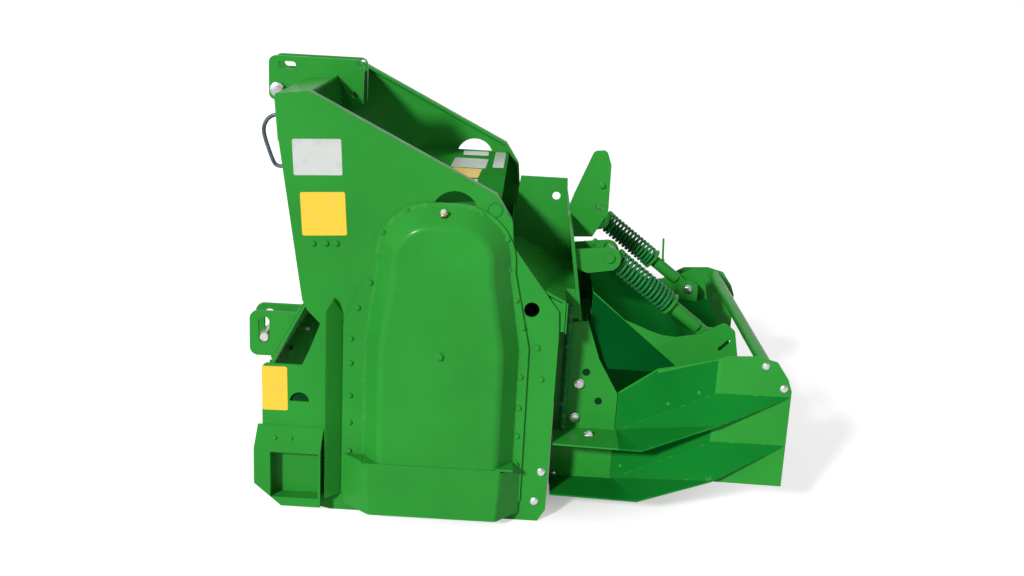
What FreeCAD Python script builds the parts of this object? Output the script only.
"""Bed former: a tractor-mounted rotary tiller case with a spring-loaded bed-forming hood.

The machine travels towards -X, its left side is -Y and +Z is up.
The origin lies on the ground, in the middle of the machine's width.
All lengths are millimetres and all angles are degrees.
"""
import FreeCAD, Part
import math
import os
import re

import Sketcher

Vector = FreeCAD.Vector

# ---------------------------------------------------------------- driving sizes
SIZES = {
    # case and tower side plates
    "half_width": 466, "wall": 8, "rim": 7, "rim_reach": 25,
    "tower_front_x": -630, "tower_front_z": 1125, "tower_top_x": -544, "tower_top_z": 1136,
    "tower_bend_x": -621, "tower_bend_z": 1010, "throat_x": -560, "throat_z": 594,
    "notch_top_x": -547, "notch_top_z": 568, "notch_back_x": -512, "notch_back_z": 532,
    "notch_low_x": -541, "notch_low_z": 455, "notch_foot_x": -560, "cheek_top_z": 414,
    "cheek_front_x": -666, "cheek_foot_z": 89, "cheek_toe_x": -605, "cheek_toe_z": 27,
    "sole_front_x": -481, "sole_back_x": 89,
    "slope_end_x": -66, "slope_end_z": 901, "nose_x": -22, "nose_z": 834,
    "chin_x": -16, "chin_z": 769, "rear_top_x": 111, "rear_top_z": 602,
    "rear_edge_x": 115, "rear_edge_z": 537, "heel_x": 109, "heel_z": 35,
    "plate_corner_r": 26, "cheek_corner_r": 14,
    "sight_x": 40, "sight_z": 603, "sight_r": 20,
    "vent_x": -170, "vent_z": 845, "vent_r": 60,
    "cheek_hole_x": -566, "cheek_hole_z": 310, "cheek_hole_r": 26,
    # tower deck, label deck and front panels
    "panel_t": 8, "deck_lip_x": -609, "deck_lip_z": 930,
    "shelf_front_x": -350, "shelf_back_x": -56, "shelf_z": 865,
    "apron_top_x": -560, "apron_top_z": 581, "apron_knee_x": -643, "apron_knee_z": 425,
    "apron_foot_x": -650, "apron_foot_z": 262, "apron_t_x": 9, "apron_t_z": 4,
    # rotor hood and rear beam
    "hood_front_x": -551, "hood_front_z": 577, "hood_bend_x": -470, "hood_z": 600,
    "hood_back_x": -40, "beam_front_x": -32, "beam_top_x": -6, "beam_top_z": 694,
    "beam_back_x": 128, "beam_back_z": 628, "beam_foot_z": 545, "beam_foot_x": 20,
    "spacer_top_x": 155.8, "spacer_low_x": 169,
    # rear frame plate, centre plate and pivot plate
    "frame_t": 10, "frame_top_x": 133, "frame_top_z": 772,
    "frame_foot_x": 180.9, "frame_foot_z": 470,
    "centre_t": 10, "centre_front_x": -10, "centre_z": 872, "centre_back_x": 127,
    "centre_hole_x": 97, "centre_hole_z": 818, "centre_hole_r": 12,
    "leaf_t": 12, "leaf_y": -11, "leaf_knee_x": 134, "leaf_knee_z": 786,
    "leaf_front_x": 148, "leaf_front_z": 828, "leaf_top_x": 199, "leaf_top_z": 958,
    "leaf_crown_x": 236, "leaf_crown_z": 962, "leaf_back_x": 251, "leaf_back_z": 920,
    "leaf_hip_x": 252, "leaf_hip_z": 778, "leaf_low_x": 210, "leaf_low_z": 704,
    "leaf_foot_x": 154.4, "leaf_foot_z": 701, "leaf_round": 15, "leaf_eye_x": 228,
    "leaf_eye_z": 860, "leaf_eye_r": 8, "leaf_hole_x": 224, "leaf_hole_z": 794,
    "leaf_hole_r": 12,
    # top link
    "link_half": 40, "link_t": 12, "link_front_x": -741, "link_back_x": -471,
    "link_top_z": 1183, "link_low_z": 1058, "link_foot_x": -500, "link_shin_x": -625,
    "link_corner_r": 20, "link_pin_x": -714, "link_pin_z": 1090, "link_pin_r": 12.7,
    "link_pin_half": 68, "link_head_r": 20, "link_play": 1, "pin_step": 0.2, "pin_gap": 0.2,
    "slot_front_x": -704, "slot_back_x": -674, "slot_z": 1158,
    "slot_r": 10, "link_bolt_x": -485, "link_bolt_z": 1169, "link_bolt_r": 8,
    "link_hole_x": -494, "link_hole_z": 1084, "link_hole_r": 9,
    # lower hitch
    "hitch_t": 12, "hitch_out_y": 445, "hitch_in_y": 375, "hitch_front_x": -702,
    "hitch_top_z": 553, "hitch_low_z": 430, "hitch_top_x": -575, "hitch_low_x": -640.5,
    "hitch_corner_r": 22, "hitch_pin_x": -664, "hitch_pin_z": 480, "hitch_pin_r": 14,
    "hitch_slot_top_z": 524, "hitch_pin_half": 62, "hitch_mid_y": 410, "hitch_grip": 29,
    # gearbox and drive line
    "box_x": -215, "box_z": 696, "box_half_x": 120, "box_half_y": 115, "box_half_z": 96,
    "box_round": 24, "tube_r": 50, "pto_r": 17.4, "pto_front_x": -470, "pto_collar_r": 45,
    "pto_collar_x": -352, "cone_front_x": -462, "cone_r": 82, "cone_t": 4,
    "shaft_play": 0.3,
    # chain case on the left side
    "flange_t": 8, "flange_front_x": -450, "flange_knee_z": 540, "flange_waist_x": -378,
    "flange_waist_z": 704, "flange_top_z": 874, "flange_back_top_x": -8,
    "flange_back_x": 38, "flange_back_z": 500, "flange_foot_z": 60, "flange_round": 150,
    "cover_front_x": -390, "cover_knee_z": 495, "cover_waist_x": -362, "cover_waist_z": 690,
    "cover_top_z": 867, "cover_back_top_x": -20, "cover_back_waist_z": 696,
    "cover_back_x": 14, "cover_back_z": 495, "cover_foot_z": 110, "cover_depth": 56,
    "cover_lean": 46, "cover_round": 138, "cover_sheet": 6,
    "skid_front_x": -445, "skid_toe_x": -367, "skid_heel_x": -26, "skid_back_x": 34,
    "skid_deep": 74, "skid_z": 172, "skid_foot_z": 27, "skid_sheet": 8,
    "plug_x": -196, "plug_out": 34, "plug_z": 845.6, "plug_r": 10, "plug_len": 22,
    # rotor
    "rotor_x": -205, "rotor_z": 285, "shaft_r": 45,
    "disc_r": 110, "disc_t": 12, "disc_step": 130, "blade_r": 250, "blade_root": 70,
    "blade_w": 44, "blade_t": 8, "foot_len": 54,
    "bearing_r": 95, "bearing_t": 18, "cap_r": 58, "cap_t": 30,
    # guards on the sides
    "guard_front_x": -678, "guard_back_x": -500, "guard_top_z": 240, "guard_brow_z": 190,
    "guard_foot_z": 27, "guard_deep": 50, "recess_front_x": -634, "recess_back_x": -506,
    "recess_top_z": 182, "recess_foot_z": 52, "recess_deep": 42,
    "rib_front_x": -500, "rib_edge_x": -490, "rib_back_x": -450.3, "rib_deep": 40,
    "rib_foot_z": 50, "rib_shoulder_z": 562, "rib_tip_x": -474, "rib_tip_z": 606,
    # spring arms and forming pan
    "arm_t": 10, "arm_out_y": 300, "arm_in_y": 212, "swivel_x": 243, "swivel_z": 715,
    "arm_r": 31, "arm_top_x": 149.4, "arm_top_z": 732, "arm_low_x": 157.6, "arm_low_z": 680,
    "arm_belly_x": 186, "arm_belly_z": 668, "ear_x": 275, "ear_top_z": 747, "ear_low_z": 683,
    "pin_r": 14, "pin_head": 7,
    "eye_x": 545, "eye_z": 490, "rod_y": 256, "rod_r": 11, "sleeve_r": 19,
    "spring_r": 29, "wire_r": 4.5, "spring_turns": 11, "spring_start": 38.8,
    "spring_end": 217.2, "seat_near": 22, "seat_far": 34, "collar_far": 230,
    "sleeve_end": 330, "rod_tail": 56, "nut_near": 24.4, "nut_r": 18, "nut_t": 16, "seat_r": 34,
    "swivel_half": 38.7, "swivel_r": 24, "bore_gap": 0.08, "tongue_t": 16, "tongue_w": 34,
    "lug_t": 10, "lug_gap": 8.5, "lug_front_x": 512, "lug_back_x": 578, "lug_foot_z": 461.1,
    "lug_back_z": 451.4, "lug_top_z": 514, "lug_round": 22,
    "hinge_x": 222, "hinge_z": 418, "bar_r": 14, "hub_r": 22, "hub_half": 30,
    "pan_half": 305, "pan_t": 6, "pan_front_x": 206, "pan_lip_z": 618, "pan_back_x": 620,
    "pan_back_z": 445, "pan_step_x": 505, "pan_step_z": 462, "pan_foot_z": 396,
    "lobe_x": 573, "lobe_z": 550, "lobe_back_x": 604, "lobe_back_z": 527, "lobe_round": 12,
    "pan_slot_low_x": 567, "pan_slot_low_z": 473, "pan_slot_top_x": 589,
    "pan_slot_top_z": 496, "pan_slot_r": 5,
    # hood side panels, wings and rear tube
    "side_t": 6, "side_in": 336, "side_front_x": 118, "side_bend_x": 298,
    "side_back_x": 542, "side_end_x": 741, "side_half": 466,
    "brow_x": 133, "brow_z": 535, "brow_back_x": 198, "brow_back_z": 540, "cheek2_x": 236,
    "cheek2_z": 432, "saddle_x": 292, "saddle_z": 335, "saddle_back_x": 390,
    "saddle_back_z": 430, "wall_top_x": 527, "wall_top_z": 489, "wall_mid_x": 560,
    "wall_mid_z": 506, "wall_back_x": 640, "wall_back_z": 511, "tail_x": 694, "tail_z": 497,
    "tail_low_x": 726, "tail_low_z": 452, "tail_edge_z": 419, "tail_foot_z": 145,
    "foot_mid_z": 148, "foot_knee_x": 420, "foot_knee_z": 80, "foot_toe_x": 257,
    "foot_toe_z": 52, "side_reach": 620,
    "wing_t": 5, "wing_lip_x": 356, "wing_lip_half": 474, "wing_mid_x": 546,
    "wing_mid_half": 500, "upper_front_z": 230, "upper_mid_z": 324, "upper_back_z": 404,
    "lower_front_z": 82, "lower_mid_z": 166, "lower_back_z": 266,
    "tie_x": 663, "tie_z": 486, "tie_r": 17,
    "screw_x": 145, "screw_y": 356, "screw_r": 11, "screw_foot": 230.3, "screw_top": 590,
    "hook_y": -440, "hook_r": 5,
}

doc = FreeCAD.newDocument("bed_former")
sheet = doc.addObject("Spreadsheet::Sheet", "Sizes")
for row, (alias, size) in enumerate(SIZES.items(), start=1):
    sheet.set(f"A{row}", alias)
    sheet.set(f"B{row}", str(size))
    sheet.setAlias(f"B{row}", alias)
doc.recompute()

TERM = re.compile(r"[+-]|[a-z_][a-z_0-9]*(?:[*/][0-9.]+)?|[0-9.]+")
nodes = []


def amount(term):
    """Number that a sum of sizes, such as 'half_width - wall/2', stands for."""
    total, sign = 0.0, 1
    for token in TERM.findall(str(term)):
        if token in "+-":
            sign = 1 if token == "+" else -1
            continue
        name, factor, by = re.match(r"([a-z_0-9.]+)([*/]?)([0-9.]*)", token).groups()
        size = SIZES[name] if name in SIZES else float(name)
        if factor:
            size = size * float(by) if factor == "*" else size / float(by)
        total += sign * size
        sign = 1
    return total


def bound(term):
    """Spreadsheet expression for a sum of sizes."""
    return re.sub(r"[a-z_][a-z_0-9]*", lambda name: "Sizes." + name.group(0), str(term))


def place(thing, x="0", y="0", z="0"):
    """Bind the place of an object to sums of sizes."""
    for axis, term in zip("xyz", (x, y, z)):
        thing.setExpression(f"Placement.Base.{axis}", bound(term))


def constrain(sketch, constraint, term):
    """Add one dimension to a sketch and bind it to a sum of sizes."""
    index = sketch.addConstraint(constraint)
    sketch.setExpression(f"Constraints[{index}]", bound(term))


def pin_point(sketch, geometry, vertex, u, v):
    """Fix one point of a sketch at the sums of sizes u and v."""
    for kind, term in (("DistanceX", u), ("DistanceY", v)):
        constrain(sketch, Sketcher.Constraint(kind, -1, 1, geometry, vertex, amount(term)), term)


def draw_polygon(sketch, corners):
    """Draw a closed polygon whose corners are pairs of sums of sizes."""
    first = sketch.GeometryCount
    points = [Vector(amount(u), amount(v), 0) for u, v in corners]
    for start, end in zip(points, points[1:] + points[:1]):
        sketch.addGeometry(Part.LineSegment(start, end))
    count = len(corners)
    for index in range(count):
        after = first + (index + 1) % count
        sketch.addConstraint(Sketcher.Constraint("Coincident", first + index, 2, after, 1))
    for index, (u, v) in enumerate(corners):
        pin_point(sketch, first + index, 1, u, v)


def draw_circle(sketch, u, v, radius):
    """Draw a circle about (u, v)."""
    centre = Vector(amount(u), amount(v), 0)
    index = sketch.addGeometry(Part.Circle(centre, Vector(0, 0, 1), amount(radius)))
    pin_point(sketch, index, 3, u, v)
    constrain(sketch, Sketcher.Constraint("Radius", index, amount(radius)), radius)


def draw_slot(sketch, start, end, radius):
    """Draw a round-ended slot between two centres on one level or one plumb line."""
    u0, v0 = (amount(term) for term in start)
    u1, v1 = (amount(term) for term in end)
    turn = math.atan2(v1 - v0, u1 - u0)
    side = Vector(-math.sin(turn), math.cos(turn), 0) * amount(radius)
    one, two = Vector(u0, v0, 0), Vector(u1, v1, 0)
    axis = Vector(0, 0, 1)
    first = sketch.GeometryCount
    quarter = math.pi / 2
    sketch.addGeometry(Part.ArcOfCircle(
        Part.Circle(one, axis, amount(radius)), turn + quarter, turn + 3 * quarter))
    sketch.addGeometry(Part.LineSegment(one - side, two - side))
    sketch.addGeometry(Part.ArcOfCircle(
        Part.Circle(two, axis, amount(radius)), turn - quarter, turn + quarter))
    sketch.addGeometry(Part.LineSegment(two + side, one + side))
    for index, (vertex, after) in enumerate(((2, 1), (2, 1), (2, 1), (2, 1))):
        nearby = first + (index + 1) % 4
        sketch.addConstraint(
            Sketcher.Constraint("Tangent", first + index, vertex, nearby, after))
    pin_point(sketch, first, 3, *start)
    pin_point(sketch, first + 2, 3, *end)
    constrain(sketch, Sketcher.Constraint("Radius", first, amount(radius)), radius)


def draw_half_round(sketch, u, v, radius):
    """Draw a half-moon that stands on a level line through (u, v)."""
    centre = Vector(amount(u), amount(v), 0)
    reach = Vector(amount(radius), 0, 0)
    first = sketch.GeometryCount
    sketch.addGeometry(Part.ArcOfCircle(
        Part.Circle(centre, Vector(0, 0, 1), amount(radius)), 0, math.pi))
    sketch.addGeometry(Part.LineSegment(centre - reach, centre + reach))
    sketch.addConstraint(Sketcher.Constraint("Coincident", first, 2, first + 1, 1))
    sketch.addConstraint(Sketcher.Constraint("Coincident", first, 1, first + 1, 2))
    constrain(sketch, Sketcher.Constraint("DistanceY", -1, 1, first, 3, amount(v)), v)
    pin_point(sketch, first + 1, 1, f"{u} - {radius}", v)
    pin_point(sketch, first + 1, 2, f"{u} + {radius}", v)


def new_sketch(body, name, role):
    """Open a sketch on one of a body's own origin planes."""
    sketch = body.newObject("Sketcher::SketchObject", name)
    plane = [item for item in body.Origin.OriginFeatures if item.Role == role][0]
    sketch.AttachmentSupport = (plane, [""])
    sketch.MapMode = "FlatFace"
    return sketch


def new_pad(body, sketch, name, length, towards=0):
    """Pad a sketch: 0 goes both ways evenly, +1 or -1 goes up or down the plane's axis."""
    pad = body.newObject("PartDesign::Pad", name)
    pad.Profile = sketch
    pad.setExpression("Length", bound(length))
    if towards == 0:
        pad.SideType = "Symmetric"
    else:
        faces_down = sketch.AttachmentSupport[0][0].Role == "XZ_Plane"
        pad.Reversed = (towards > 0) == faces_down
    return pad


def round_corners(body, name, corners, radius, axis="y"):
    """Round the edges along one axis that stand on the given profile corners."""
    doc.recompute()
    base = body.Tip
    across = [letter for letter in "xyz" if letter != axis]
    spots = [(amount(u), amount(v)) for u, v in corners]
    names = []
    for index, edge in enumerate(base.Shape.Edges, start=1):
        points = [vertex.Point for vertex in edge.Vertexes]
        if len(points) != 2:
            continue
        for spot in spots:
            if all(abs(getattr(point, across[0]) - spot[0]) < 0.01
                   and abs(getattr(point, across[1]) - spot[1]) < 0.01 for point in points):
                names.append(f"Edge{index}")
    fillet = body.newObject("PartDesign::Fillet", name)
    fillet.Base = (base, names)
    fillet.setExpression("Radius", bound(radius))


def plate(label, outline, thickness, y="0", circles=(), slots=(), windows=(), role="XZ_Plane"):
    """Flat piece cut to an outline, padded evenly about its middle plane."""
    body = doc.addObject("PartDesign::Body", label)
    sketch = new_sketch(body, label + "_outline", role)
    draw_polygon(sketch, outline)
    for window in windows:
        draw_polygon(sketch, window)
    for circle in circles:
        draw_circle(sketch, *circle)
    for slot in slots:
        draw_slot(sketch, *slot)
    new_pad(body, sketch, label + "_pad", thickness)
    if role == "XZ_Plane":
        place(body, y=y)
    return body


def keep(thing):
    """Count an object as one of the machine's pieces."""
    nodes.append(thing)
    return thing


def turned(label, axis, steps, x="0", y="0", z="0"):
    """Turned piece: cylinders (radius, start, end) along one axis, fused into one."""
    turn = {"x": FreeCAD.Rotation(Vector(0, 1, 0), 90),
            "y": FreeCAD.Rotation(Vector(1, 0, 0), -90),
            "z": FreeCAD.Rotation()}[axis]
    at = {"x": x, "y": y, "z": z}
    cylinders = []
    for index, (radius, start, end) in enumerate(steps):
        name = label if len(steps) == 1 else f"{label}_step_{index}"
        cylinder = doc.addObject("Part::Cylinder", name)
        cylinder.Placement = FreeCAD.Placement(Vector(), turn)
        cylinder.setExpression("Radius", bound(radius))
        cylinder.setExpression("Height", f"{bound(end)} - ({bound(start)})")
        spot = dict(at)
        spot[axis] = f"{at[axis]} + {start}".replace("+ -", "- ")
        place(cylinder, **spot)
        cylinders.append(cylinder)
    if len(steps) == 1:
        return cylinders[0]
    fuse = doc.addObject("Part::MultiFuse", label)
    fuse.Shapes = cylinders
    return fuse


def meet(label, one, two):
    """Keep what two pieces share."""
    common = doc.addObject("Part::Common", label)
    common.Base, common.Tool = one, two
    return common


def cut(label, base, tool):
    """Take one piece away from another."""
    result = doc.addObject("Part::Cut", label)
    result.Base, result.Tool = base, tool
    return result


def join(label, pieces):
    """Join pieces of one part."""
    fuse = doc.addObject("Part::MultiFuse", label)
    fuse.Shapes = pieces
    return fuse


def group(label, pieces):
    """Hold like pieces that do not touch as one part."""
    compound = doc.addObject("Part::Compound", label)
    compound.Links = pieces
    return compound


def from_shape(label, shape):
    """Part whose shape no sketch or primitive gives."""
    feature = doc.addObject("Part::Feature", label)
    feature.Shape = shape
    return feature


SIDES = (("left", -1), ("right", 1))


def outward(side, term):
    """Sum of sizes measured outwards from the middle plane on one side."""
    if side > 0:
        return term
    flipped = "".join({"+": "-", "-": "+"}.get(letter, letter) for letter in term)
    return "-" + flipped


# ---------------------------------------------------------------- case side plates
TOWER_TOP = [("tower_top_x", "tower_top_z"), ("slope_end_x", "slope_end_z"),
             ("nose_x", "nose_z"), ("chin_x", "chin_z")]
CASE_OUTLINE = [("tower_front_x", "tower_front_z")] + TOWER_TOP + [
    ("rear_top_x", "rear_top_z"), ("rear_edge_x", "rear_edge_z"), ("heel_x", "heel_z"),
    ("sole_back_x", "0"), ("sole_front_x", "0"), ("cheek_toe_x", "cheek_toe_z"),
    ("cheek_front_x", "cheek_foot_z"), ("cheek_front_x", "cheek_top_z"),
    ("notch_foot_x", "cheek_top_z"), ("notch_low_x", "notch_low_z"),
    ("notch_back_x", "notch_back_z"), ("notch_top_x", "notch_top_z"), ("throat_x", "throat_z"),
    ("tower_bend_x", "tower_bend_z")]


def case_plate(name, side):
    """Big side plate: tower and rotor case in one, its sloping edge folded inwards."""
    label = "side_plate_" + name
    body = doc.addObject("PartDesign::Body", label)
    sketch = new_sketch(body, label + "_outline", "XZ_Plane")
    draw_polygon(sketch, CASE_OUTLINE)
    draw_circle(sketch, "sight_x", "sight_z", "sight_r")
    draw_circle(sketch, "vent_x", "vent_z", "vent_r")
    draw_half_round(sketch, "cheek_hole_x", "cheek_hole_z", "cheek_hole_r")
    new_pad(body, sketch, label + "_pad", "wall")
    fold = new_sketch(body, label + "_fold", "XZ_Plane")
    inner = [(f"{x} - rim", f"{z} - rim") for x, z in reversed(TOWER_TOP[1:])]
    inner.append(("tower_top_x", "tower_top_z - rim*1.5"))
    draw_polygon(fold, TOWER_TOP + inner)
    new_pad(body, fold, label + "_rim", "wall/2 + rim_reach", towards=-side)
    round_corners(body, label + "_nose", [("nose_x", "nose_z")], "plate_corner_r")
    round_corners(body, label + "_cheek", [("cheek_front_x", "cheek_top_z"),
                                           ("notch_low_x", "notch_low_z")], "cheek_corner_r")
    place(body, y=outward(side, "half_width - wall/2"))
    return keep(body)


for side_name, side_sign in SIDES:
    case_plate(side_name, side_sign)

# ---------------------------------------------------------------- cross plates
INSIDE = "half_width*2 - wall*2"
FRAME_WIDE = "side_in*2 - side_t*2"
keep(plate("tower_deck", [
    ("tower_front_x", "tower_front_z"), ("tower_top_x", "tower_top_z"),
    ("tower_top_x", "tower_top_z - panel_t"),
    ("tower_front_x + panel_t", "tower_front_z - panel_t"),
    ("tower_bend_x + panel_t", "tower_bend_z"), ("deck_lip_x + panel_t", "deck_lip_z"),
    ("deck_lip_x", "deck_lip_z"), ("tower_bend_x", "tower_bend_z")], INSIDE))
keep(plate("label_shelf", [
    ("shelf_front_x", "shelf_z"), ("shelf_back_x", "shelf_z"),
    ("shelf_back_x", "shelf_z - panel_t"), ("shelf_front_x", "shelf_z - panel_t")], INSIDE))
keep(plate("front_apron", [
    ("apron_top_x", "apron_top_z"), ("apron_top_x + apron_t_x", "apron_top_z - apron_t_z"),
    ("apron_knee_x + apron_t_x", "apron_knee_z - apron_t_z"),
    ("apron_foot_x + apron_t_x", "apron_foot_z"), ("apron_foot_x", "apron_foot_z"),
    ("apron_knee_x", "apron_knee_z")], INSIDE))
keep(plate("rotor_hood", [
    ("hood_front_x", "hood_front_z"), ("hood_bend_x", "hood_z"), ("hood_back_x", "hood_z"),
    ("hood_back_x", "hood_z - panel_t"), ("hood_bend_x", "hood_z - panel_t"),
    ("hood_front_x", "hood_front_z - panel_t")], INSIDE))
beam_box = plate("beam_box", [
    ("hood_back_x", "hood_z"), ("beam_front_x", "beam_top_z"), ("beam_top_x", "beam_top_z"),
    ("beam_back_x", "beam_back_z"), ("beam_back_x", "beam_foot_z"),
    ("beam_foot_x", "beam_foot_z"), ("hood_back_x", "hood_z - panel_t")], INSIDE,
    windows=[[("hood_back_x + panel_t*1.2", "hood_z + panel_t"),
              ("beam_front_x + panel_t", "beam_top_z - panel_t"),
              ("beam_top_x - panel_t/4", "beam_top_z - panel_t"),
              ("beam_back_x - panel_t", "beam_back_z - panel_t/2"),
              ("beam_back_x - panel_t", "beam_foot_z + panel_t"),
              ("beam_foot_x + panel_t/4", "beam_foot_z + panel_t")]])
frame_spacer = plate("frame_spacer", [
    ("beam_back_x", "beam_back_z"), ("spacer_top_x", "beam_back_z"),
    ("spacer_low_x", "beam_foot_z"), ("beam_back_x", "beam_foot_z")], FRAME_WIDE)
keep(join("rear_beam", [beam_box, frame_spacer]))
keep(plate("rear_frame_plate", [
    ("frame_top_x", "frame_top_z"), ("frame_top_x + frame_t", "frame_top_z"),
    ("frame_foot_x + frame_t", "frame_foot_z"), ("frame_foot_x", "frame_foot_z")],
    FRAME_WIDE))
keep(plate("centre_plate", [
    ("centre_front_x", "centre_z"), ("centre_back_x", "centre_z"),
    ("frame_top_x", "frame_top_z"), ("spacer_top_x", "beam_back_z"),
    ("beam_back_x", "beam_back_z"), ("beam_top_x", "beam_top_z"),
    ("beam_front_x", "beam_top_z")], "centre_t",
    circles=[("centre_hole_x", "centre_hole_z", "centre_hole_r")]))
leaf = plate("pivot_plate", [
    ("frame_top_x + frame_t", "frame_top_z"), ("leaf_knee_x", "leaf_knee_z"),
    ("leaf_front_x", "leaf_front_z"), ("leaf_top_x", "leaf_top_z"),
    ("leaf_crown_x", "leaf_crown_z"), ("leaf_back_x", "leaf_back_z"),
    ("leaf_hip_x", "leaf_hip_z"), ("leaf_low_x", "leaf_low_z"),
    ("leaf_foot_x", "leaf_foot_z")], "leaf_t", y="leaf_y",
    circles=[("leaf_eye_x", "leaf_eye_z", "leaf_eye_r"),
             ("leaf_hole_x", "leaf_hole_z", "leaf_hole_r")])
round_corners(leaf, "pivot_plate_crown", [("leaf_top_x", "leaf_top_z"),
                                          ("leaf_crown_x", "leaf_crown_z")], "leaf_round")
keep(leaf)

# ---------------------------------------------------------------- three-point hitch
LINK_OUTLINE = [
    ("link_front_x", "link_top_z"), ("link_back_x", "link_top_z"), ("link_back_x", "link_low_z"),
    ("link_foot_x", "link_low_z"), ("tower_top_x", "tower_top_z"),
    ("tower_front_x", "tower_front_z"), ("link_shin_x", "link_low_z"),
    ("link_front_x", "link_low_z")]
link_plates = []
for side_name, side_sign in SIDES:
    label = "link_plate_" + side_name
    link = plate(label, LINK_OUTLINE, "link_t", y=outward(side_sign, "link_half"),
                 circles=[("link_pin_x", "link_pin_z", "link_pin_r + bore_gap"),
                          ("link_bolt_x", "link_bolt_z", "link_bolt_r"),
                          ("link_hole_x", "link_hole_z", "link_hole_r")],
                 slots=[(("slot_front_x", "slot_z"), ("slot_back_x", "slot_z"), "slot_r")])
    round_corners(link, label + "_corners", [
        ("link_front_x", "link_top_z"), ("link_back_x", "link_top_z"),
        ("link_front_x", "link_low_z")], "link_corner_r")
    link_plates.append(link)
keep(group("top_link_bracket", link_plates))
keep(turned("top_link_pin", "y", [
    ("link_pin_r", "link_t/2 + pin_gap/2 - link_half", "link_half - link_t/2 - pin_gap/2"),
    ("link_pin_r - pin_step", "-link_pin_half", "link_pin_half"),
    ("link_head_r", "-link_pin_half", "-link_half - link_t/2 - link_play"),
], x="link_pin_x", z="link_pin_z"))

HITCH_OUTLINE = [("hitch_front_x", "hitch_top_z"), ("hitch_top_x", "hitch_top_z"),
                 ("hitch_low_x", "hitch_low_z"), ("hitch_front_x", "hitch_low_z")]
hitch_plates, hitch_pins = [], []
for side_name, side_sign in SIDES:
    for row_name, row_y in (("outer", "hitch_out_y"), ("inner", "hitch_in_y")):
        label = f"hitch_plate_{side_name}_{row_name}"
        hitch = plate(label, HITCH_OUTLINE, "hitch_t", y=outward(side_sign, row_y),
                      slots=[(("hitch_pin_x", "hitch_pin_z"), ("hitch_pin_x", "hitch_slot_top_z"),
                              "hitch_pin_r + shaft_play")])
        round_corners(hitch, label + "_corners", [("hitch_front_x", "hitch_top_z"),
                                                  ("hitch_front_x", "hitch_low_z")],
                      "hitch_corner_r")
        hitch_plates.append(hitch)
    hitch_pins.append(turned("hitch_pin_" + side_name, "y", [
        ("hitch_pin_r", "pin_gap - hitch_grip", "hitch_grip - pin_gap"),
        ("hitch_pin_r - pin_step", "-hitch_pin_half", "hitch_pin_half")],
        x="hitch_pin_x", y=outward(side_sign, "hitch_mid_y"), z="hitch_pin_z"))
keep(group("hitch_brackets", hitch_plates))
keep(group("hitch_pins", hitch_pins))

# ---------------------------------------------------------------- gearbox and drive line
gearbox = plate("gearbox", [
    ("box_x - box_half_x", "box_z - box_half_z"), ("box_x + box_half_x", "box_z - box_half_z"),
    ("box_x + box_half_x", "box_z + box_half_z"), ("box_x - box_half_x", "box_z + box_half_z")],
    "box_half_y*2")
round_corners(gearbox, "gearbox_round", [
    ("box_x + box_half_x", "box_z + box_half_z"), ("box_x - box_half_x", "box_z + box_half_z")],
    "box_round")
keep(gearbox)
keep(group("drive_tubes", [
    turned("drive_tube_left", "y", [("tube_r", "wall - half_width", "-box_half_y")],
           x="box_x", z="box_z"),
    turned("drive_tube_right", "y", [("tube_r", "box_half_y", "half_width - wall")],
           x="box_x", z="box_z")]))
keep(turned("pto_input_shaft", "x", [
    ("pto_r", "pto_front_x", "box_x - box_half_x - shaft_play"),
    ("pto_collar_r", "pto_collar_x", "box_x - box_half_x - shaft_play")], z="box_z"))
cone = turned("pto_cone_wall", "x", [("cone_r", "cone_front_x", "box_x - box_half_x")], z="box_z")
core = turned("pto_cone_core", "x", [
    ("cone_r - cone_t", "cone_front_x - cone_t", "box_x - box_half_x + cone_t")], z="box_z")
keep(cut("pto_guard", cone, core))

# ---------------------------------------------------------------- chain case
flange = plate("chain_case_flange", [
    ("flange_front_x", "flange_foot_z"), ("flange_front_x", "flange_knee_z"),
    ("flange_waist_x", "flange_waist_z"), ("flange_waist_x", "flange_top_z"),
    ("flange_back_top_x", "flange_top_z"), ("flange_back_top_x", "flange_waist_z"),
    ("flange_back_x", "flange_back_z"), ("flange_back_x", "flange_foot_z")], "flange_t",
    y="0 - half_width - flange_t/2")
round_corners(flange, "flange_arch", [("flange_waist_x", "flange_top_z"),
                                      ("flange_back_top_x", "flange_top_z")], "flange_round")
keep(flange)


def rounded_wire(corners, radii, y):
    """Closed outline in an upright plane; a corner with a radius gets a tangent arc."""
    points = [Vector(x, y, z) for x, z in corners]
    count = len(points)
    spans = []
    for index, (corner, radius) in enumerate(zip(points, radii)):
        if not radius:
            spans.append((corner, corner, corner))
            continue
        before = (points[index - 1] - corner).normalize()
        after = (points[(index + 1) % count] - corner).normalize()
        half = before.getAngle(after) / 2
        reach = radius / math.tan(half)
        centre = corner + (before + after).normalize() * (radius / math.sin(half))
        crown = centre + (corner - centre).normalize() * radius
        spans.append((corner + before * reach, crown, corner + after * reach))
    edges = []
    for index, (enter, crown, leave) in enumerate(spans):
        if enter != leave:
            edges.append(Part.Arc(enter, crown, leave).toShape())
        edges.append(Part.makeLine(leave, spans[(index + 1) % count][0]))
    return Part.Wire(edges)


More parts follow.
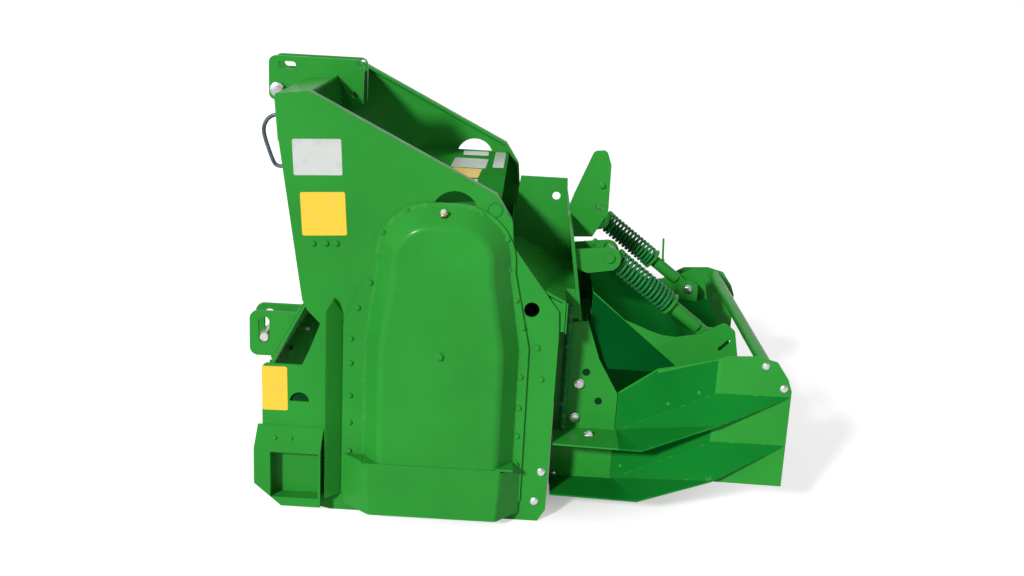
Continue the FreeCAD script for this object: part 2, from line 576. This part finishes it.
def dome(inset, depth):
    """Arched block whose sides lean inwards, standing on the chain-case flange."""
    size = SIZES
    wires = []
    for lean, y in ((0, 0), (size["cover_lean"], depth)):
        shrink = inset + lean
        front, waist = size["cover_front_x"] + shrink, size["cover_waist_x"] + shrink
        back_top, back = size["cover_back_top_x"] - shrink, size["cover_back_x"] - shrink
        foot, top = size["cover_foot_z"] + shrink, size["cover_top_z"] - shrink
        corners = [(front, foot), (front, size["cover_knee_z"]), (waist, size["cover_waist_z"]),
                   (waist, top), (back_top, top), (back_top, size["cover_back_waist_z"]),
                   (back, size["cover_back_z"]), (back, foot)]
        arch = size["cover_round"] - shrink
        radii = [0, 0, 0, arch, arch, 0, 0, 0]
        wires.append(rounded_wire(corners, radii, -size["half_width"] - size["flange_t"] - y))
    return Part.makeLoft(wires, True, True)


cover = dome(0, SIZES["cover_depth"]).cut(
    dome(SIZES["cover_sheet"], SIZES["cover_depth"] - SIZES["cover_sheet"]))
keep(from_shape("chain_case_cover", cover))


def upright(label, outline, foot, height):
    """Piece drawn in plan that stands a height tall on a level."""
    body = doc.addObject("PartDesign::Body", label)
    sketch = new_sketch(body, label + "_outline", "XY_Plane")
    draw_polygon(sketch, outline)
    new_pad(body, sketch, label + "_pad", height, towards=1)
    place(body, z=foot)
    return body


def on_side(side, outline):
    """Plan outline whose second number counts outwards from the middle plane."""
    return [(x, outward(side, y)) for x, y in outline]


def chain_skid(name, side):
    """Bent wear plate along the foot of the side, with a ledge on top."""
    face = "half_width + flange_t" if side < 0 else "half_width"
    reach = "half_width + skid_deep"
    label = "side_skid_" + name
    shell = upright(label + "_shell", on_side(side, [
        ("skid_front_x", face), ("skid_toe_x", reach), ("skid_heel_x", reach),
        ("skid_back_x", face), ("skid_back_x - skid_sheet*1.5", face),
        ("skid_heel_x - skid_sheet/2", reach + " - skid_sheet"),
        ("skid_toe_x + skid_sheet/2", reach + " - skid_sheet"),
        ("skid_front_x + skid_sheet*1.5", face)]), "skid_foot_z",
        "skid_z - skid_sheet - skid_foot_z")
    ledge = upright(label + "_ledge", on_side(side, [
        ("skid_front_x", face), ("skid_toe_x", reach), ("skid_heel_x", reach),
        ("skid_back_x", face)]), "skid_z - skid_sheet", "skid_sheet")
    if side < 0:
        clear = plate(label + "_clear", [
            ("cover_front_x", "cover_foot_z"), ("cover_back_x", "cover_foot_z"),
            ("cover_back_x", "cover_knee_z"), ("cover_front_x", "cover_knee_z")],
            "cover_depth*2", y="0 - half_width - flange_t")
        ledge = cut(label + "_notched", ledge, clear)
    return join(label, [shell, ledge])


keep(group("side_skids", [chain_skid(side_name, side_sign) for side_name, side_sign in SIDES]))


def plug_shape():
    """Round plug that stands square on the sloping crown of the cover."""
    crown = Vector(0, -SIZES["cover_lean"], SIZES["cover_depth"]).normalize()
    seat = Vector(SIZES["plug_x"], -SIZES["half_width"] - SIZES["plug_out"], SIZES["plug_z"])
    seat += crown * SIZES["shaft_play"]
    return Part.makeCylinder(SIZES["plug_r"], SIZES["plug_len"], seat, crown)


keep(from_shape("filler_plug", plug_shape()))
keep(turned("rotor_bearing_right", "y", [
    ("bearing_r", "half_width", "half_width + bearing_t"),
    ("cap_r", "half_width + bearing_t", "half_width + bearing_t + cap_t")],
    x="rotor_x", z="rotor_z"))

# ---------------------------------------------------------------- rotor
DISC_PLACES = range(-3, 4)
BLADES_PER_DISC = 4
steps = [("shaft_r", "wall + shaft_play - half_width", "half_width - wall - shaft_play")]
for number in DISC_PLACES:
    at = f"disc_step*{abs(number)}.0"
    at = "0" if number == 0 else (at if number > 0 else "-" + at)
    steps.append(("disc_r", f"{at} - disc_t/2", f"{at} + disc_t/2"))
keep(turned("rotor_shaft", "y", steps, x="rotor_x", z="rotor_z"))


def rotor_blades():
    """Bent tines bolted flat on the discs, their feet turned left and right by turns."""
    pieces = []
    lean = 360.0 / BLADES_PER_DISC
    for number in DISC_PLACES:
        for turn in range(BLADES_PER_DISC):
            way = 1 if (number + turn) % 2 else -1
            face = number * SIZES["disc_step"] + way * SIZES["disc_t"] / 2
            reach = SIZES["blade_r"] - SIZES["blade_root"]
            arm = Part.makeBox(SIZES["blade_w"], SIZES["blade_t"], reach)
            arm.translate(Vector(-SIZES["blade_w"] / 2, face if way > 0 else
                                 face - SIZES["blade_t"], SIZES["blade_root"]))
            foot = Part.makeBox(SIZES["blade_w"], SIZES["foot_len"], SIZES["blade_t"])
            foot.translate(Vector(-SIZES["blade_w"] / 2, face if way > 0 else
                                  face - SIZES["foot_len"], SIZES["blade_r"] - SIZES["blade_t"]))
            blade = arm.fuse(foot).removeSplitter()
            blade.rotate(Vector(), Vector(0, 1, 0), turn * lean + number * lean / 4)
            pieces.append(blade)
    return Part.makeCompound(pieces)


blades = keep(from_shape("rotor_blades", rotor_blades()))
blades.Placement = FreeCAD.Placement(
    Vector(SIZES["rotor_x"], 0, SIZES["rotor_z"]), FreeCAD.Rotation())

# ---------------------------------------------------------------- guards on the sides
guards, ribs = [], []
for side_name, side_sign in SIDES:
    label = "front_guard_" + side_name
    block = doc.addObject("PartDesign::Body", label)
    outline = new_sketch(block, label + "_outline", "YZ_Plane")
    draw_polygon(outline, [
        (outward(side_sign, "half_width"), "guard_top_z"),
        (outward(side_sign, "half_width + guard_deep"), "guard_brow_z"),
        (outward(side_sign, "half_width + guard_deep"), "guard_foot_z"),
        (outward(side_sign, "half_width"), "guard_foot_z")])
    new_pad(block, outline, label + "_pad", "guard_back_x - guard_front_x", towards=1)
    place(block, x="guard_front_x")
    recess = plate(label + "_recess", [
        ("recess_front_x", "recess_foot_z"), ("recess_back_x", "recess_foot_z"),
        ("recess_back_x", "recess_top_z"), ("recess_front_x", "recess_top_z")],
        "recess_deep*2", y=outward(side_sign, "half_width + guard_deep"))
    toe = plate(label + "_toe", [
        ("guard_front_x - wall", "guard_foot_z - wall"),
        ("cheek_toe_x", "guard_foot_z - wall"), ("cheek_toe_x", "guard_foot_z"),
        ("guard_front_x", "cheek_foot_z"), ("guard_front_x - wall", "cheek_foot_z")],
        "half_width*3")
    guards.append(cut(label + "_hollowed", block, join(label + "_away", [recess, toe])))
    rib = upright(f"edge_rib_{side_name}_plan", on_side(side_sign, [
        ("rib_front_x", "half_width"), ("rib_edge_x", "half_width + rib_deep"), ("rib_back_x", "half_width")]),
        "rib_foot_z", "rib_tip_z - rib_foot_z")
    arrow = plate(f"edge_rib_{side_name}_arrow", [
        ("rib_front_x", "rib_foot_z"), ("rib_back_x", "rib_foot_z"),
        ("rib_back_x", "rib_shoulder_z"), ("rib_tip_x", "rib_tip_z"),
        ("rib_front_x", "rib_shoulder_z")], "half_width*3")
    ribs.append(meet("edge_rib_" + side_name, rib, arrow))
keep(group("front_guards", guards))
keep(group("edge_ribs", ribs))

# ---------------------------------------------------------------- spring arms
ears = []
for side_name, side_sign in SIDES:
    for row_name, row_y in (("outer", "arm_out_y"), ("inner", "arm_in_y")):
        label = f"spring_arm_{side_name}_{row_name}"
        ear = plate(label, [
            ("arm_top_x", "arm_top_z"), ("ear_x", "ear_top_z"), ("ear_x", "ear_low_z"),
            ("arm_belly_x", "arm_belly_z"), ("arm_low_x", "arm_low_z")], "arm_t",
            y=outward(side_sign, row_y))
        round_corners(ear, label + "_round", [("ear_x", "ear_top_z"), ("ear_x", "ear_low_z")],
                      "arm_r")
        out = 1 if row_name == "outer" else -1
        start = f"{row_y} + arm_t/2" if out > 0 else f"{row_y} - arm_t/2 - pin_head"
        end = f"{row_y} + arm_t/2 + pin_head" if out > 0 else f"{row_y} - arm_t/2"
        if side_sign < 0:
            start, end = outward(side_sign, end), outward(side_sign, start)
        head = turned(label + "_head", "y", [("pin_r", start, end)], x="swivel_x", z="swivel_z")
        ears.append(join(label + "_with_pin", [ear, head]))
keep(group("spring_arms", ears))

ROD = Vector(SIZES["eye_x"] - SIZES["swivel_x"], 0, SIZES["eye_z"] - SIZES["swivel_z"])
ROD_LENGTH = ROD.Length
ROD_TURN = FreeCAD.Rotation(Vector(0, 0, 1), ROD)


def along_rod(shape, side):
    """Set a shape built along +Z from the swivel on the line of one spring rod."""
    line = FreeCAD.Placement(
        Vector(SIZES["swivel_x"], side * SIZES["rod_y"], SIZES["swivel_z"]), ROD_TURN)
    shape.Placement = line.multiply(shape.Placement)
    return shape


def rod_cylinder(radius, start, end):
    """Cylinder on the rod's line between two distances from the swivel."""
    return Part.makeCylinder(radius, end - start, Vector(0, 0, start))


def swivel_shape():
    """Cross barrel that turns between the ears, with the spring's seat and the rod's bore."""
    half = SIZES["swivel_half"]
    barrel = Part.makeCylinder(SIZES["swivel_r"], 2 * half, Vector(0, -half, 0), Vector(0, 1, 0))
    seat = rod_cylinder(SIZES["seat_r"], SIZES["seat_near"], SIZES["seat_far"])
    bore = rod_cylinder(SIZES["rod_r"] + SIZES["bore_gap"], -2 * half, 2 * half)
    return barrel.fuse(seat).cut(bore)


def rod_shape():
    """Spring rod: tail with its nut, collar, sleeve and flattened tongue."""
    shaft = rod_cylinder(SIZES["rod_r"], -SIZES["rod_tail"], SIZES["sleeve_end"])
    nut = rod_cylinder(SIZES["nut_r"], -SIZES["nut_near"] - SIZES["nut_t"], -SIZES["nut_near"])
    collar = rod_cylinder(SIZES["seat_r"], SIZES["spring_end"] + SIZES["wire_r"]
                          + SIZES["shaft_play"], SIZES["collar_far"])
    sleeve = rod_cylinder(SIZES["sleeve_r"], SIZES["collar_far"], SIZES["sleeve_end"])
    width, thick = SIZES["tongue_w"], SIZES["tongue_t"]
    root = SIZES["sleeve_end"] - width
    tongue = Part.makeBox(width, thick, ROD_LENGTH - root, Vector(-width / 2, -thick / 2, root))
    eye = Part.makeCylinder(width / 2, thick, Vector(0, -thick / 2, ROD_LENGTH), Vector(0, 1, 0))
    return shaft.multiFuse([nut, collar, sleeve, tongue, eye])


def spring_shape():
    """Coil spring between the swivel's seat and the rod's collar."""
    wire, radius = SIZES["wire_r"], SIZES["spring_r"]
    length = SIZES["spring_end"] - SIZES["spring_start"]
    helix = Part.makeHelix(length / SIZES["spring_turns"], length, radius)
    section = Part.Wire(Part.makeCircle(wire, Vector(radius, 0, 0), Vector(0, 1, 0)))
    coil = Part.Wire(helix.Edges).makePipeShell([section], True, True)
    coil.translate(Vector(0, 0, SIZES["spring_start"]))
    return coil


for side_name, side_sign in SIDES:
    keep(from_shape("spring_swivel_" + side_name, along_rod(swivel_shape(), side_sign)))
    keep(from_shape("spring_rod_" + side_name, along_rod(rod_shape(), side_sign)))
    keep(from_shape("spring_" + side_name, along_rod(spring_shape(), side_sign)))

# ---------------------------------------------------------------- forming pan
keep(turned("pan_hinge_bar", "y", [
    ("bar_r", "side_t - side_in", "side_in - side_t")], x="hinge_x", z="hinge_z"))
SWEEP = [("pan_front_x", "pan_lip_z"), ("238", "592"), ("299", "541"), ("333", "529"),
         ("370", "514"), ("404", "504"), ("441", "500"), ("472", "488")]
sheet_top = SWEEP + [("pan_step_x", "pan_step_z"), ("pan_back_x", "pan_back_z")]
sheet_under = [(x, f"{z} - pan_t") for x, z in sheet_top]
sheet_under[0] = ("pan_front_x", "pan_lip_z - pan_t*1.5")
pan_pieces = [plate("pan_sheet", sheet_top + sheet_under[::-1], "pan_half*2 - pan_t/2")]
for side_name, side_sign in SIDES:
    label = "pan_cheek_" + side_name
    cheek = plate(label, SWEEP[:-1] + [
        ("508", "513"), ("lobe_x", "lobe_z"), ("lobe_back_x", "lobe_back_z"),
        ("pan_back_x", "pan_back_z"), ("pan_back_x", "pan_foot_z"),
        ("pan_front_x", "pan_foot_z")], "pan_t", y=outward(side_sign, "pan_half - pan_t/2"),
        slots=[(("pan_slot_low_x", "pan_slot_low_z"), ("pan_slot_top_x", "pan_slot_top_z"),
                "pan_slot_r")])
    round_corners(cheek, label + "_lobe", [("lobe_x", "lobe_z"), ("lobe_back_x", "lobe_back_z")],
                  "lobe_round")
    hub_inner, hub_outer = "pan_half - hub_half", "pan_half"
    if side_sign < 0:
        hub_inner, hub_outer = outward(side_sign, hub_outer), outward(side_sign, hub_inner)
    hub = turned("pan_hub_" + side_name, "y", [("hub_r", hub_inner, hub_outer)],
                 x="hinge_x", z="hinge_z")
    pan_pieces += [cheek, hub]
pan_bore = turned("pan_bore", "y", [("bar_r + bore_gap", "-side_in", "side_in")],
                  x="hinge_x", z="hinge_z")
keep(cut("forming_pan", join("pan_whole", pan_pieces), pan_bore))

lugs = []
for side_name, side_sign in SIDES:
    for row_name, row_sign in (("inner", "-"), ("outer", "+")):
        label = f"pan_lug_{side_name}_{row_name}"
        lug_y = f"rod_y {row_sign} lug_gap {row_sign} lug_t/2"
        lug = plate(label, [
            ("lug_front_x", "lug_foot_z"), ("lug_back_x", "lug_back_z"),
            ("lug_back_x", "lug_top_z"), ("lug_front_x", "lug_top_z")], "lug_t",
            y=outward(side_sign, lug_y))
        round_corners(lug, label + "_round", [("lug_back_x", "lug_top_z"),
                                              ("lug_front_x", "lug_top_z")], "lug_round")
        lugs.append(lug)
keep(group("pan_lugs", lugs))

# ---------------------------------------------------------------- hood sides
HOOD_SIDE = [
    ("side_front_x", "foot_toe_z"), ("foot_toe_x", "foot_toe_z"),
    ("foot_knee_x", "foot_knee_z"), ("side_back_x", "foot_mid_z"),
    ("side_end_x", "tail_foot_z"), ("side_end_x - wing_t/2", "tail_edge_z"),
    ("tail_low_x", "tail_low_z"), ("tail_x", "tail_z"), ("wall_back_x", "wall_back_z"),
    ("wall_mid_x", "wall_mid_z"), ("wall_top_x", "wall_top_z"),
    ("saddle_back_x", "saddle_back_z"), ("saddle_x", "saddle_z"), ("cheek2_x", "cheek2_z"),
    ("brow_back_x", "brow_back_z"), ("brow_x", "brow_z"), ("side_front_x", "brow_z - wall*4")]


def sheet_between(corners, thickness):
    """Flat sheet on three or four corners, thickened straight down."""
    points = [Vector(*corner) for corner in corners]
    face = Part.Face(Part.makePolygon(points + points[:1]))
    return face.extrude(Vector(0, 0, -thickness))


def wing_shape(side, front_z, mid_z, back_z):
    """Ledge and two facets that sweep the soil from the case width in along the hood."""
    size, half = SIZES, SIZES["side_half"]
    root = (size["side_bend_x"], side * size["side_in"], front_z)
    lip = (size["wing_lip_x"], side * size["wing_lip_half"], front_z)
    back = (size["side_back_x"], side * half, back_z)
    middle = (size["wing_mid_x"], side * size["wing_mid_half"], mid_z)
    end = (size["side_end_x"] - size["wing_t"], side * half, back_z)
    ledge = sheet_between([
        (size["side_front_x"], side * size["side_in"], front_z), root, lip,
        (size["side_front_x"], side * (half - size["wing_t"]), front_z)], size["wing_t"])
    facets = [sheet_between(corners, size["wing_t"]) for corners in (
        (root, lip, middle), (root, middle, back), (back, middle, end))]
    return ledge.multiFuse(facets)


for side_name, side_sign in SIDES:
    plan = upright("hood_plan_" + side_name, on_side(side_sign, [
        ("side_front_x", "side_in"), ("side_bend_x", "side_in"), ("side_back_x", "side_half"),
        ("side_end_x", "side_half"), ("side_end_x", "side_half - side_t"),
        ("side_back_x + side_t/4", "side_half - side_t"),
        ("side_bend_x + side_t/4", "side_in - side_t"), ("side_front_x", "side_in - side_t")]),
        "0", "side_reach")
    silhouette = plate("hood_silhouette_" + side_name, HOOD_SIDE, "side_half*3")
    panel = keep(meet("hood_side_" + side_name, plan, silhouette))
    doc.recompute()
    wings = [
        wing_shape(side_sign, *(SIZES[f"{level}_{spot}_z"] for spot in ("front", "mid", "back")))
        for level in ("upper", "lower")]
    keep(from_shape("hood_wings_" + side_name,
                    Part.makeCompound([wing.cut(panel.Shape) for wing in wings])))
keep(turned("rear_tie_tube", "y", [
    ("tie_r", "side_t - side_half", "side_half - side_t")], x="tie_x", z="tie_z"))
keep(group("height_screws", [
    turned("height_screw_" + side_name, "z", [("screw_r", "screw_foot", "screw_top")],
           x="screw_x", y=outward(side_sign, "screw_y")) for side_name, side_sign in SIDES]))

# ---------------------------------------------------------------- hose hook
HOOK_PATH = [(-626.2, 1070), (-646, 1068.5), (-664, 1046), (-664, 1020), (-652, 985),
             (-640, 950), (-631, 937), (-611.2, 940)]


def hook_shape():
    """Bent wire on the tower's front that carries the hoses."""
    points = [Vector(x, SIZES["hook_y"], z) for x, z in HOOK_PATH]
    path = Part.Wire(Part.BSplineCurve(points).toShape())
    start = path.Edges[0]
    heading = start.tangentAt(start.FirstParameter)
    section = Part.Wire(Part.makeCircle(SIZES["hook_r"], points[0], heading))
    return path.makePipeShell([section], True, True)


keep(from_shape("hose_hook", hook_shape()))

# ---------------------------------------------------------------- checks and export
doc.recompute()
failed = [item.Name for item in doc.Objects
          if "Invalid" in item.State or "Error" in item.State]
if failed:
    raise SystemExit(f"these failed: {failed}")
for node in nodes:
    if node.Shape.isNull() or not node.Shape.isValid() or not node.Shape.Solids:
        raise SystemExit(f"{node.Label} has no valid solid")
os.makedirs("parts", exist_ok=True)
for node in nodes:
    node.Shape.exportStep(f"parts/{node.Label}.step")
    print(node.Label, len(node.Shape.Solids), round(node.Shape.Volume / 1000, 1), "cm3")
